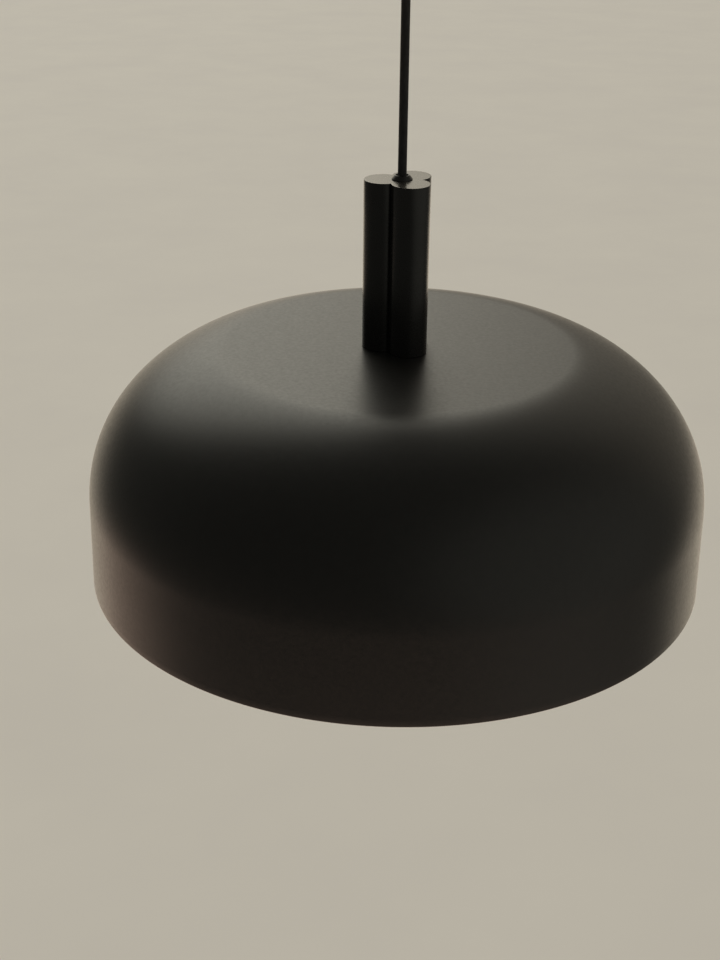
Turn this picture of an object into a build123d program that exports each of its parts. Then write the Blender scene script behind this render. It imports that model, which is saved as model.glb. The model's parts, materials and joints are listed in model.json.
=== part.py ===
from build123d import *
import os
from math import cos, pi, radians, sin, sqrt

# Pendant ceiling light. Millimetres, +Z up, origin at the centre of the ceiling face.
# The lamp hangs straight down from there, so almost every height is negative.

# Driving dimensions
TOTAL_DROP = 481.0  # ceiling to the shade's rim
SHADE_RADIUS = 225.0  # outside, at the top of the straight wall
SHADE_HEIGHT = 171.5
SHADE_WALL_HEIGHT = 61.5  # straight part above the rim
SHADE_FLARE = 1.0  # the rim is this much wider than the top of the wall
SHADE_TOP_RADIUS = 124.0  # flat top, up to its soft crease
SHOULDER_RISE = 73.5  # how far the wall's direction carries into the shoulder
SHOULDER_REACH = 31.0  # the same from the flat top's edge
SHEET = 1.2  # spun steel
HEM_HEIGHT = 6.0
HEM_THICKNESS = 3.0
HEM_EDGE = 0.8  # radius of the folded edge, inside and outside
STEM_HEIGHT = 120.5
LOBE_RADIUS = 13.5
LOBE_OFFSET = 12.7  # stem axis to each lobe's centre
LOBE_COUNT = 3
CORD_RADIUS = 3.1
CORE_RADIUS = 1.1  # one insulated core of the cord
CANOPY_RADIUS = 50.0
CANOPY_HEIGHT = 30.0
E27_PITCH = 25.4 / 7
E27_CREST = 13.2

# Heights that follow
RIM_Z = -TOTAL_DROP
SHADE_TOP_Z = RIM_Z + SHADE_HEIGHT
STEM_TOP_Z = SHADE_TOP_Z + STEM_HEIGHT
SHADE_UNDER_Z = SHADE_TOP_Z - SHEET

# Bends of the cord: a ball of cord core with a small gap to the cord each side
BEND_BALL_RADIUS = 2.0
BEND_GAP = 2.35
SWING_Z = -37.0
GRIP_LIP_Z = -40.0
ROCK_Z = STEM_TOP_Z - 1.0
GLAND_LIP_Z = STEM_TOP_Z + 3.2
CORD_BORE = CORD_RADIUS + 0.3
GLAND_RADIUS = 7.2
THREAD_RADIUS = 5.0  # M10 x 1, used by the grip, the gland and the nipple

# Ceiling plate
PLATE_THICKNESS = 1.5
PLATE_RADIUS = 48.0
SLOT_SPACING = 60.0
SLOT_WIDTH = 5.0
SLOT_LENGTH = 12.0
CABLE_ENTRY_RADIUS = 8.0
TAB_WIDTH = 16.0
TAB_DROP = 15.0
TAB_FACE_X = 46.5
SIDE_SCREW_Z = -9.0
SIDE_SCREW_RADIUS = 2.0
SIDE_SCREW_HEAD_RADIUS = 3.6
BLOCK_SCREW_RADIUS = 1.5
EARTH_SCREW_RADIUS = 2.0
CUP_WALL = 1.0
CUP_CORNER = 10.0

# Cord grip
GRIP_TOP_Z = -18.0
GRIP_FLANGE_RADIUS = 8.0
GRIP_FLANGE_HEIGHT = 2.5
GRIP_NUT_HEIGHT = 4.0

# Terminal block
BLOCK_SIZE = (20.0, 14.0, 12.0)
BLOCK_Y = 23.0
POLE_X = 5.0
BARREL_Z = -8.5
BARREL_RADIUS = 2.2
BARREL_BORE = 1.4
TERMINAL_SCREW_RADIUS = 1.3
TERMINAL_SCREW_Y = (19.5, 26.5)
EARTH_Y = -24.0
CORD_END_Z = -17.0

# Stack under the flat top
DISC_RADIUS = 32.0
DISC_UNDER_Z = SHADE_UNDER_Z - 2.0
WASHER_UNDER_Z = DISC_UNDER_Z - 0.8
EARTH_TAG_UNDER_Z = WASHER_UNDER_Z - 0.6
NUT_UNDER_Z = EARTH_TAG_UNDER_Z - 5.0
HOLDER_TOP_Z = NUT_UNDER_Z - 0.9
NIPPLE_TOP_Z = SHADE_TOP_Z + 18.5
NIPPLE_BOTTOM_Z = HOLDER_TOP_Z - 10.0
NIPPLE_BORE = 3.8

# Lampholder
SKIRT_RADIUS = 20.5
SKIRT_BORE = 17.2
INSERT_TOP_Z = HOLDER_TOP_Z - 16.0
INSERT_UNDER_Z = INSERT_TOP_Z - 10.0
SKIRT_BOTTOM_Z = HOLDER_TOP_Z - 56.0
SOCKET_CREST = 13.5  # running room round the bulb's thread
HOLDER_CORD_END_Z = HOLDER_TOP_Z - 11.0

# Bulb, cap up
BULB_TOP_Z = INSERT_UNDER_Z - 2.0
BULB_RADIUS = 30.0
BULB_LENGTH = 109.0
CAP_BORE = 11.6

ON_BASE = (Align.CENTER, Align.CENTER, Align.MIN)


def at(x, y, z):
    """Point of an outline drawn in the XZ plane or of a route in space."""
    return Vector(x, y, z)


def upright(radius, low, high, x=0.0, y=0.0):
    """Upright cylinder between two heights."""
    return Pos(x, y, low) * Cylinder(radius, high - low, align=ON_BASE)


def tube(outer, inner, low, high):
    return upright(outer, low, high) - upright(inner, low, high)


def block(x_span, y_span, z_span):
    """Box from its lowest and highest value along each axis."""
    low = (x_span[0], y_span[0], z_span[0])
    size = [span[1] - span[0] for span in (x_span, y_span, z_span)]
    return Pos(*low) * Box(*size, align=(Align.MIN, Align.MIN, Align.MIN))


def turned(*corners):
    """Solid of revolution about Z from (radius, height) corners."""
    points = [at(radius, 0, height) for radius, height in corners]
    return revolve(make_face(Polyline(*points, close=True)), Axis.Z)


def hexagon(across_flats, low, high):
    outline = RegularPolygon(across_flats / sqrt(3), 6)
    return Pos(0, 0, low) * extrude(outline, high - low)


def wire(points, corner_radii, radius=CORE_RADIUS):
    """Round wire along straight runs joined by tangent arcs."""
    print("wire bend radii", corner_radii)
    path = FilletPolyline(*points, radius=corner_radii)
    section = Plane(path @ 0, z_dir=path % 0) * Circle(radius)
    return sweep(section, path=path)


def around(count, radius, first=0.0):
    """Evenly spaced (x, y) places on a circle, from an angle in degrees."""
    angles = [radians(first + 360.0 * i / count) for i in range(count)]
    return [(radius * cos(a), radius * sin(a)) for a in angles]


def knuckle_thread(crest, root, top, turns):
    """Rounded thread profile going down, as arcs about the mean radius."""
    mean = (crest + root) / 2
    quarter = E27_PITCH / 4
    arcs = []
    for turn in range(turns):
        z = top - turn * E27_PITCH
        start, middle, end = (at(mean, 0, z - step * quarter) for step in (0, 2, 4))
        arcs.append(ThreePointArc(start, at(crest, 0, z - quarter), middle))
        arcs.append(ThreePointArc(middle, at(root, 0, z - 3 * quarter), end))
    return arcs


# Ceiling fitting


def ceiling_plate():
    plate = upright(PLATE_RADIUS, -PLATE_THICKNESS, 0)
    plate -= upright(CABLE_ENTRY_RADIUS, -PLATE_THICKNESS, 0)
    slot = extrude(SlotOverall(SLOT_LENGTH, SLOT_WIDTH), -PLATE_THICKNESS)
    for side in (-1, 1):
        plate -= Pos(side * SLOT_SPACING / 2, 0, 0) * slot
        near, far = sorted((side * TAB_FACE_X, side * (TAB_FACE_X + PLATE_THICKNESS)))
        tab = block((near, far), (-TAB_WIDTH / 2, TAB_WIDTH / 2), (-TAB_DROP, 0))
        plate += tab - side_screw_shank(side)
    plate -= upright(BLOCK_SCREW_RADIUS, -PLATE_THICKNESS, 0, y=BLOCK_Y)
    plate -= upright(EARTH_SCREW_RADIUS, -PLATE_THICKNESS, 0, y=EARTH_Y)
    return plate


def side_screw_place(side, x):
    """Frame at the side screw's height that points outwards on that side."""
    return Pos(side * x, 0, SIDE_SCREW_Z) * Rot(0, side * 90, 0)


def side_screw_shank(side):
    start = TAB_FACE_X - 0.5
    shank = Cylinder(SIDE_SCREW_RADIUS, CANOPY_RADIUS - start, align=ON_BASE)
    return side_screw_place(side, start) * shank


def canopy_side_screws():
    screws = []
    for side in (-1, 1):
        head = Cylinder(SIDE_SCREW_HEAD_RADIUS, 2.0, align=ON_BASE)
        head -= Pos(0, 0, 1.0) * Box(0.9, 8.0, 2.0, align=ON_BASE)
        screws.append(side_screw_shank(side) + side_screw_place(side, CANOPY_RADIUS) * head)
    return screws


def canopy_cup():
    inner = CANOPY_RADIUS - CUP_WALL
    floor_z = CUP_WALL - CANOPY_HEIGHT
    bend_z = CUP_CORNER - CANOPY_HEIGHT
    bend_r = CANOPY_RADIUS - CUP_CORNER
    outer_slant = CUP_CORNER * sqrt(0.5)
    inner_slant = (CUP_CORNER - CUP_WALL) * sqrt(0.5)
    hole = THREAD_RADIUS + 0.15
    profile = [
        Line(at(inner, 0, 0), at(CANOPY_RADIUS, 0, 0)),
        Line(at(CANOPY_RADIUS, 0, 0), at(CANOPY_RADIUS, 0, bend_z)),
        ThreePointArc(
            at(CANOPY_RADIUS, 0, bend_z),
            at(bend_r + outer_slant, 0, bend_z - outer_slant),
            at(bend_r, 0, -CANOPY_HEIGHT),
        ),
        Line(at(bend_r, 0, -CANOPY_HEIGHT), at(hole, 0, -CANOPY_HEIGHT)),
        Line(at(hole, 0, -CANOPY_HEIGHT), at(hole, 0, floor_z)),
        Line(at(hole, 0, floor_z), at(bend_r, 0, floor_z)),
        ThreePointArc(
            at(bend_r, 0, floor_z),
            at(bend_r + inner_slant, 0, bend_z - inner_slant),
            at(inner, 0, bend_z),
        ),
        Line(at(inner, 0, bend_z), at(inner, 0, 0)),
    ]
    cup = revolve(make_face(profile), Axis.Z)
    for side in (-1, 1):
        cup -= side_screw_shank(side)
    return cup


def grip_body():
    body = turned(
        (CORD_BORE, GRIP_TOP_Z),
        (THREAD_RADIUS, GRIP_TOP_Z),
        (THREAD_RADIUS, -CANOPY_HEIGHT),
        (GRIP_FLANGE_RADIUS, -CANOPY_HEIGHT),
        (GRIP_FLANGE_RADIUS, -CANOPY_HEIGHT - GRIP_FLANGE_HEIGHT),
        (6.4, GRIP_LIP_Z + 0.8),
        (5.8, GRIP_LIP_Z),
        (5.0, GRIP_LIP_Z),
        (3.7, SWING_Z),
        (CORD_BORE, SWING_Z + 1.0),
    )
    return body - grip_clamp_screw()


def grip_nut():
    low = CUP_WALL - CANOPY_HEIGHT
    high = low + GRIP_NUT_HEIGHT
    return hexagon(14.0, low, high) - upright(THREAD_RADIUS, low, high)


def grip_clamp_screw():
    """Runs in from the side above the nut until it presses on the cord."""
    return Pos(0, -CORD_RADIUS, -21.5) * Rot(90, 0, 0) * Cylinder(1.5, 5.0, align=ON_BASE)


def terminal_block():
    x, y, z = BLOCK_SIZE
    bottom = -PLATE_THICKNESS - z
    body = block((-x / 2, x / 2), (BLOCK_Y - y / 2, BLOCK_Y + y / 2), (bottom, -PLATE_THICKNESS))
    for pole in (-POLE_X, POLE_X):
        body -= lying_cylinder(BARREL_RADIUS, BLOCK_Y - y / 2, BLOCK_Y + y / 2, pole)
    for screw in terminal_screws():
        body -= screw
    for pole in (-POLE_X, POLE_X):
        for screw_y in TERMINAL_SCREW_Y:
            body -= upright(1.8, bottom, BARREL_Z - BARREL_RADIUS - 1.0, pole, screw_y)
    return body - terminal_fixing_screw()


def lying_cylinder(radius, y_low, y_high, x):
    """Cylinder along Y at the height of the terminals."""
    length = y_high - y_low
    return Pos(x, y_low, BARREL_Z) * Rot(-90, 0, 0) * Cylinder(radius, length, align=ON_BASE)


def terminal_barrels():
    y_low, y_high = BLOCK_Y - 6.0, BLOCK_Y + 6.0
    barrels = []
    for pole in (-POLE_X, POLE_X):
        barrel = lying_cylinder(BARREL_RADIUS, y_low, y_high, pole)
        barrel -= lying_cylinder(BARREL_BORE, y_low, y_high, pole)
        for screw in terminal_screws():
            barrel -= screw
        barrels.append(barrel)
    return barrels


def terminal_screws():
    tip = BARREL_Z - CORE_RADIUS
    head = -PLATE_THICKNESS - BLOCK_SIZE[2] + 0.6
    slot = Box(4.0, 0.6, 0.8)
    screws = []
    for pole in (-POLE_X, POLE_X):
        for screw_y in TERMINAL_SCREW_Y:
            screw = upright(TERMINAL_SCREW_RADIUS, head, tip, pole, screw_y)
            screws.append(screw - Pos(pole, screw_y, head) * slot)
    return screws


def terminal_fixing_screw():
    bottom = -PLATE_THICKNESS - BLOCK_SIZE[2]
    shank = upright(BLOCK_SCREW_RADIUS, bottom, -0.2, y=BLOCK_Y)
    return shank + upright(2.6, bottom, bottom + 1.6, y=BLOCK_Y)


def earth_tag():
    top = -PLATE_THICKNESS
    ring = upright(4.5, top - 0.8, top, y=EARTH_Y)
    tongue = block((-1.6, 1.6), (EARTH_Y, EARTH_Y + 9.0), (top - 0.8, top))
    return ring + tongue - upright(EARTH_SCREW_RADIUS, top - 0.8, top, y=EARTH_Y)


def earth_screw():
    under_tag = -PLATE_THICKNESS - 0.8
    screw = upright(EARTH_SCREW_RADIUS, under_tag, -0.2, y=EARTH_Y)
    screw += upright(3.8, under_tag - 2.6, under_tag, y=EARTH_Y)
    for turn in (0, 90):
        cross = Pos(0, EARTH_Y, under_tag - 2.6) * Rot(0, 0, turn)
        screw -= cross * Box(4.0, 0.9, 2.4)
    return screw


def canopy_cord_end():
    return upright(CORD_RADIUS, SWING_Z + BEND_GAP, CORD_END_Z)


def canopy_core_wire(side):
    """Live on one side, neutral on the other, into the brass barrels."""
    x = side * 1.4
    pole = side * POLE_X
    route = [
        at(x, 0.8, CORD_END_Z),
        at(x, 0.8, CORD_END_Z + 4.5),
        at(pole, 9.0, BARREL_Z),
        at(pole, BLOCK_Y + 1.0, BARREL_Z),
    ]
    return wire(route, [2.4, 2.4])


def earth_wire():
    tag_under = -PLATE_THICKNESS - 0.8
    route = [
        at(0, -1.6, CORD_END_Z),
        at(0, -1.6, CORD_END_Z + 4.5),
        at(0, -9.0, tag_under - CORE_RADIUS - 3.0),
        at(0, -16.2, tag_under - CORE_RADIUS),
    ]
    return wire(route, [2.6, 6.0])


# Cord


def bend_core(height):
    return Pos(0, 0, height) * Sphere(BEND_BALL_RADIUS)


def pendant_cord():
    return upright(CORD_RADIUS, ROCK_Z + BEND_GAP, SWING_Z - BEND_GAP)


def gland_cord_end():
    return upright(CORD_RADIUS, STEM_TOP_Z - 9.0, ROCK_Z - BEND_GAP)


def inner_cord():
    return upright(CORD_RADIUS, HOLDER_CORD_END_Z, STEM_TOP_Z - 9.3)


# Stem and shade


def stem_gland():
    """Low cone with a wide mouth, so that the cord can lean in it."""
    return turned(
        (CORD_BORE, STEM_TOP_Z - 14.0),
        (THREAD_RADIUS, STEM_TOP_Z - 14.0),
        (THREAD_RADIUS, STEM_TOP_Z),
        (GLAND_RADIUS, STEM_TOP_Z),
        (GLAND_RADIUS, STEM_TOP_Z + 0.5),
        (5.1, GLAND_LIP_Z),
        (4.4, GLAND_LIP_Z),
        (CORD_BORE, ROCK_Z + 0.4),
    )


def stem():
    outline = Sketch()
    for x, y in around(LOBE_COUNT, LOBE_OFFSET, first=180.0):
        outline += Pos(x, y) * Circle(LOBE_RADIUS)
    column = Pos(0, 0, SHADE_TOP_Z) * extrude(outline, STEM_HEIGHT)
    column -= upright(THREAD_RADIUS, SHADE_TOP_Z, STEM_TOP_Z)
    return column - upright(7.0, NIPPLE_TOP_Z, STEM_TOP_Z - 16.0)


def shade_profile():
    """Outer skin and inner skin, joined by the hem below and the centre hole above."""
    rim_r = SHADE_RADIUS + SHADE_FLARE
    wall_z = RIM_Z + SHADE_WALL_HEIGHT
    inner_r = SHADE_RADIUS - SHEET
    hem_r = rim_r - HEM_THICKNESS
    edge_z = RIM_Z + HEM_EDGE
    slant = HEM_EDGE * (1 - sqrt(0.5))
    wall_foot = at(rim_r, 0, edge_z)
    wall_head = at(SHADE_RADIUS, 0, wall_z)
    crease = at(SHADE_TOP_RADIUS, 0, SHADE_TOP_Z)
    inner_crease = at(SHADE_TOP_RADIUS, 0, SHADE_UNDER_Z)
    inner_head = at(inner_r, 0, wall_z)
    hem_top = at(rim_r - SHEET, 0, RIM_Z + HEM_HEIGHT)
    return [
        Line(wall_foot, wall_head),
        Bezier(
            wall_head,
            at(SHADE_RADIUS, 0, wall_z + SHOULDER_RISE),
            at(SHADE_TOP_RADIUS + SHOULDER_REACH, 0, SHADE_TOP_Z),
            crease,
        ),
        Line(crease, at(THREAD_RADIUS, 0, SHADE_TOP_Z)),
        Line(at(THREAD_RADIUS, 0, SHADE_TOP_Z), at(THREAD_RADIUS, 0, SHADE_UNDER_Z)),
        Line(at(THREAD_RADIUS, 0, SHADE_UNDER_Z), inner_crease),
        Bezier(
            inner_crease,
            at(SHADE_TOP_RADIUS + SHOULDER_REACH, 0, SHADE_UNDER_Z),
            at(inner_r, 0, wall_z + SHOULDER_RISE),
            inner_head,
        ),
        Line(inner_head, hem_top),
        Line(hem_top, at(hem_r, 0, RIM_Z + HEM_HEIGHT)),
        Line(at(hem_r, 0, RIM_Z + HEM_HEIGHT), at(hem_r, 0, edge_z)),
        ThreePointArc(
            at(hem_r, 0, edge_z),
            at(hem_r + slant, 0, RIM_Z + slant),
            at(hem_r + HEM_EDGE, 0, RIM_Z),
        ),
        Line(at(hem_r + HEM_EDGE, 0, RIM_Z), at(rim_r - HEM_EDGE, 0, RIM_Z)),
        ThreePointArc(
            at(rim_r - HEM_EDGE, 0, RIM_Z),
            at(rim_r - slant, 0, RIM_Z + slant),
            wall_foot,
        ),
    ]


def shade():
    return revolve(make_face(shade_profile()), Axis.Z)


def reinforcing_disc():
    disc = upright(DISC_RADIUS, DISC_UNDER_Z, SHADE_UNDER_Z)
    disc -= upright(THREAD_RADIUS, DISC_UNDER_Z, SHADE_UNDER_Z)
    for x, y in around(6, 20.0):
        disc -= upright(4.0, DISC_UNDER_Z, SHADE_UNDER_Z, x, y)
    return disc


def nipple_washer():
    """Toothed lock washer."""
    ring = tube(8.0, THREAD_RADIUS, WASHER_UNDER_Z, DISC_UNDER_Z)
    for i in range(12):
        notch = Box(2.0, 1.4, 2.0)
        ring -= Pos(0, 0, WASHER_UNDER_Z) * Rot(0, 0, 30 * i) * Pos(8.4, 0, 0) * notch
    return ring


def lamp_earth_tag():
    ring = tube(8.0, THREAD_RADIUS, EARTH_TAG_UNDER_Z, WASHER_UNDER_Z)
    tongue = block((-2.0, 2.0), (-15.0, -7.0), (EARTH_TAG_UNDER_Z, WASHER_UNDER_Z))
    return ring + tongue


def nipple_nut():
    nut = hexagon(15.0, NUT_UNDER_Z, EARTH_TAG_UNDER_Z)
    return nut - upright(THREAD_RADIUS, NUT_UNDER_Z, EARTH_TAG_UNDER_Z)


def hollow_nipple():
    return tube(THREAD_RADIUS, NIPPLE_BORE, NIPPLE_BOTTOM_Z, NIPPLE_TOP_Z)


# Lampholder


def holder_cap():
    top = HOLDER_TOP_Z
    dome = turned(
        (THREAD_RADIUS, top),
        (8.5, top),
        (14.0, top - 1.5),
        (18.6, top - 6.0),
        (SKIRT_RADIUS, top - 13.0),
        (SKIRT_RADIUS, top - 21.0),
        (18.7, top - 21.0),
        (18.7, top - 14.0),
        (16.9, top - 7.6),
        (13.0, top - 3.8),
        (8.0, top - 3.3),
        (8.0, top - 10.0),
        (THREAD_RADIUS, top - 10.0),
    )
    return dome - upright(1.5, top - 8.0, top, y=-12.0)


def holder_skirt():
    joint = HOLDER_TOP_Z - 21.0
    return turned(
        (SKIRT_BORE, INSERT_TOP_Z + 1.0),
        (18.7, INSERT_TOP_Z + 1.0),
        (18.7, joint),
        (SKIRT_RADIUS, joint),
        (SKIRT_RADIUS, SKIRT_BOTTOM_Z + 1.5),
        (SKIRT_RADIUS - 1.2, SKIRT_BOTTOM_Z),
        (SKIRT_BORE, SKIRT_BOTTOM_Z),
    )


def holder_insert():
    return upright(SKIRT_BORE, INSERT_UNDER_Z, INSERT_TOP_Z)


def holder_thread_shell():
    """Brass shell, smooth outside and rolled into a knuckle thread inside."""
    top = INSERT_UNDER_Z
    outer = 14.9
    mean = SOCKET_CREST + 0.4
    first = top - 3.0
    turns = 6
    bottom = first - turns * E27_PITCH
    profile = [
        Line(at(mean, 0, top), at(mean, 0, first)),
        *knuckle_thread(SOCKET_CREST + 0.8, SOCKET_CREST, first, turns),
        Line(at(mean, 0, bottom), at(mean, 0, bottom - 1.5)),
        Line(at(mean, 0, bottom - 1.5), at(outer, 0, bottom - 1.5)),
        Line(at(outer, 0, bottom - 1.5), at(outer, 0, top)),
        Line(at(outer, 0, top), at(mean, 0, top)),
    ]
    return revolve(make_face(profile), Axis.Z)


def holder_centre_contact():
    leaf = block((-4.0, 8.0), (-2.5, 2.5), (INSERT_UNDER_Z - 0.5, INSERT_UNDER_Z))
    return leaf + upright(2.0, INSERT_UNDER_Z - 1.6, INSERT_UNDER_Z - 0.5)


def holder_side_contact():
    return block((-13.1, -12.6), (-2.0, 2.0), (INSERT_UNDER_Z - 7.5, INSERT_UNDER_Z))


def holder_terminals():
    """Two brass posts that take the cores on top of the insert."""
    posts = []
    for side in (-1, 1):
        near, far = sorted((side * 8.0, side * 13.0))
        post = block((near, far), (-2.5, 2.5), (INSERT_TOP_Z, INSERT_TOP_Z + 3.6))
        posts.append(post - upright(1.2, INSERT_TOP_Z, INSERT_TOP_Z + 3.6, x=side * 10.5))
    return posts


def holder_terminal_screws():
    screws = []
    for side in (-1, 1):
        low, high = INSERT_TOP_Z, INSERT_TOP_Z + 3.6
        screw = upright(1.2, low, high, x=side * 10.5)
        screw += upright(2.2, high, high + 1.4, x=side * 10.5)
        slot = Box(0.7, 5.0, 1.2)
        screws.append(screw - Pos(side * 10.5, 0, high + 1.4) * slot)
    return screws


def holder_core_wire(side):
    z = INSERT_TOP_Z + 1.8
    route = [
        at(side * 1.4, 0.8, HOLDER_CORD_END_Z),
        at(side * 1.4, 0.8, z),
        at(side * 8.0, 0.8, z),
    ]
    return wire(route, [2.0])


def lamp_earth_wire():
    """Leaves the holder through a hole in its cap and meets the tag from below."""
    z = INSERT_TOP_Z + 1.8
    route = [
        at(0, -1.6, HOLDER_CORD_END_Z),
        at(0, -1.6, z),
        at(0, -12.0, z),
        at(0, -12.0, EARTH_TAG_UNDER_Z),
    ]
    return wire(route, [2.0, 3.0])


# Bulb


def bulb_tip_contact():
    top = BULB_TOP_Z
    return turned((0, top), (3.2, top - 0.1), (4.8, top - 0.7), (4.8, top - 1.2), (0, top - 1.2))


def bulb_insulator():
    top = BULB_TOP_Z - 1.2
    return turned((0, top), (5.6, top), (11.0, top - 3.8), (11.0, top - 5.3), (0, top - 5.3))


def bulb_screw_cap():
    top = BULB_TOP_Z - 6.5
    turns = 4
    mean = E27_CREST - 0.5
    bottom = BULB_TOP_Z - 26.0
    thread_end = top - turns * E27_PITCH
    profile = [
        Line(at(CAP_BORE, 0, top), at(mean, 0, top)),
        *knuckle_thread(E27_CREST, E27_CREST - 1.0, top, turns),
        Line(at(mean, 0, thread_end), at(mean, 0, bottom + 0.8)),
        Line(at(mean, 0, bottom + 0.8), at(E27_CREST, 0, bottom)),
        Line(at(E27_CREST, 0, bottom), at(CAP_BORE, 0, bottom)),
        Line(at(CAP_BORE, 0, bottom), at(CAP_BORE, 0, top)),
    ]
    return revolve(make_face(profile), Axis.Z)


def bulb_equator():
    """Height of the bulb's widest circle."""
    return BULB_TOP_Z - BULB_LENGTH + BULB_RADIUS


def bulb_seam():
    """Height and outer radius where the housing meets the dome."""
    rise = 13.0
    return bulb_equator() + rise, sqrt(BULB_RADIUS**2 - rise**2)


def bulb_housing():
    neck_top = BULB_TOP_Z - 9.0
    cap_end = BULB_TOP_Z - 26.0
    seam_z, seam_r = bulb_seam()
    wall = 1.6
    seat_z = seam_z + 4.0
    belly = [
        at(14.0, 0, cap_end),
        at(14.4, 0, cap_end - 14.0),
        at(seam_r - 4.5, 0, seam_z + 12.0),
        at(seam_r, 0, seam_z),
    ]
    inside = [
        at(seam_r - wall - 1.6, 0, seat_z),
        at(seam_r - 6.6, 0, seam_z + 13.0),
        at(12.8, 0, cap_end - 14.0),
        at(10.0, 0, cap_end - 2.0),
    ]
    profile = [
        Line(at(10.0, 0, neck_top), at(CAP_BORE, 0, neck_top)),
        Line(at(CAP_BORE, 0, neck_top), at(CAP_BORE, 0, cap_end)),
        Line(at(CAP_BORE, 0, cap_end), belly[0]),
        Bezier(*belly),
        Line(belly[-1], at(seam_r - wall, 0, seam_z)),
        Line(at(seam_r - wall, 0, seam_z), at(seam_r - wall, 0, seat_z)),
        Line(at(seam_r - wall, 0, seat_z), inside[0]),
        Bezier(*inside),
        Line(inside[-1], at(10.0, 0, neck_top)),
    ]
    return revolve(make_face(profile), Axis.Z)


def bulb_led_plate():
    seam_z, seam_r = bulb_seam()
    return upright(seam_r - 1.6, seam_z + 2.5, seam_z + 4.0)


def bulb_leds():
    seam_z = bulb_seam()[0]
    chips = []
    for x, y in around(12, 17.0) + around(6, 8.5):
        chips.append(Pos(x, y, seam_z + 2.1) * Box(3.0, 3.0, 0.8))
    return chips


def bulb_driver_board():
    seam_z = bulb_seam()[0]
    return block((-9.0, 9.0), (-0.8, 0.8), (seam_z + 6.0, BULB_TOP_Z - 12.0))


def bulb_driver_capacitor():
    return upright(3.2, bulb_seam()[0] + 10.0, BULB_TOP_Z - 24.0, x=2.0, y=4.0)


def bulb_dome():
    """Opal shell, a bowl of one thickness round the bulb's widest circle."""
    seam_z, seam_r = bulb_seam()
    centre = bulb_equator()
    wall = 1.2
    inner = BULB_RADIUS - wall
    inner_seam_r = sqrt(inner**2 - (seam_z - centre) ** 2)
    profile = [
        ThreePointArc(at(seam_r, 0, seam_z), at(BULB_RADIUS, 0, centre), bowl_point(BULB_RADIUS)),
        ThreePointArc(
            bowl_point(BULB_RADIUS),
            at(BULB_RADIUS * sin(pi / 8), 0, centre - BULB_RADIUS * cos(pi / 8)),
            at(0, 0, centre - BULB_RADIUS),
        ),
        Line(at(0, 0, centre - BULB_RADIUS), at(0, 0, centre - inner)),
        ThreePointArc(
            at(0, 0, centre - inner),
            at(inner * sin(pi / 8), 0, centre - inner * cos(pi / 8)),
            bowl_point(inner),
        ),
        ThreePointArc(bowl_point(inner), at(inner, 0, centre), at(inner_seam_r, 0, seam_z)),
        Line(at(inner_seam_r, 0, seam_z), at(seam_r, 0, seam_z)),
    ]
    return revolve(make_face(profile), Axis.Z)


def bowl_point(radius):
    """Point of the dome half way down, at 45 degrees."""
    drop = radius * sqrt(0.5)
    return at(drop, 0, bulb_equator() - drop)


NODES = {
    "ceiling_plate": ceiling_plate(),
    "canopy_cup": canopy_cup(),
    "canopy_side_screws": canopy_side_screws(),
    "grip_body": grip_body(),
    "grip_nut": grip_nut(),
    "grip_clamp_screw": grip_clamp_screw(),
    "terminal_block": terminal_block(),
    "terminal_barrels": terminal_barrels(),
    "terminal_screws": terminal_screws(),
    "terminal_fixing_screw": terminal_fixing_screw(),
    "earth_tag": earth_tag(),
    "earth_screw": earth_screw(),
    "canopy_cord_end": canopy_cord_end(),
    "live_wire": canopy_core_wire(1),
    "neutral_wire": canopy_core_wire(-1),
    "earth_wire": earth_wire(),
    "cord_bend_core": bend_core(SWING_Z),
    "pendant_cord": pendant_cord(),
    "gland_bend_core": bend_core(ROCK_Z),
    "gland_cord_end": gland_cord_end(),
    "stem_gland": stem_gland(),
    "stem": stem(),
    "inner_cord": inner_cord(),
    "hollow_nipple": hollow_nipple(),
    "shade": shade(),
    "reinforcing_disc": reinforcing_disc(),
    "nipple_washer": nipple_washer(),
    "nipple_nut": nipple_nut(),
    "lamp_earth_tag": lamp_earth_tag(),
    "holder_cap": holder_cap(),
    "holder_skirt": holder_skirt(),
    "holder_insert": holder_insert(),
    "holder_thread_shell": holder_thread_shell(),
    "holder_centre_contact": holder_centre_contact(),
    "holder_side_contact": holder_side_contact(),
    "holder_terminals": holder_terminals(),
    "holder_terminal_screws": holder_terminal_screws(),
    "holder_live_wire": holder_core_wire(1),
    "holder_neutral_wire": holder_core_wire(-1),
    "lamp_earth_wire": lamp_earth_wire(),
    "bulb_tip_contact": bulb_tip_contact(),
    "bulb_insulator": bulb_insulator(),
    "bulb_screw_cap": bulb_screw_cap(),
    "bulb_housing": bulb_housing(),
    "bulb_led_plate": bulb_led_plate(),
    "bulb_leds": bulb_leds(),
    "bulb_driver_board": bulb_driver_board(),
    "bulb_driver_capacitor": bulb_driver_capacitor(),
    "bulb_dome": bulb_dome(),
}

os.makedirs("parts", exist_ok=True)
for name, shape in NODES.items():
    solid = Compound(children=shape) if isinstance(shape, list) else shape
    export_step(solid, f"parts/{name}.step")
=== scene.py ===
import json
from collections import namedtuple
from math import acos, atan2, cos, pi, radians, sin, sqrt, tan

import bmesh
import bpy
from mathutils import Matrix, Vector


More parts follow.
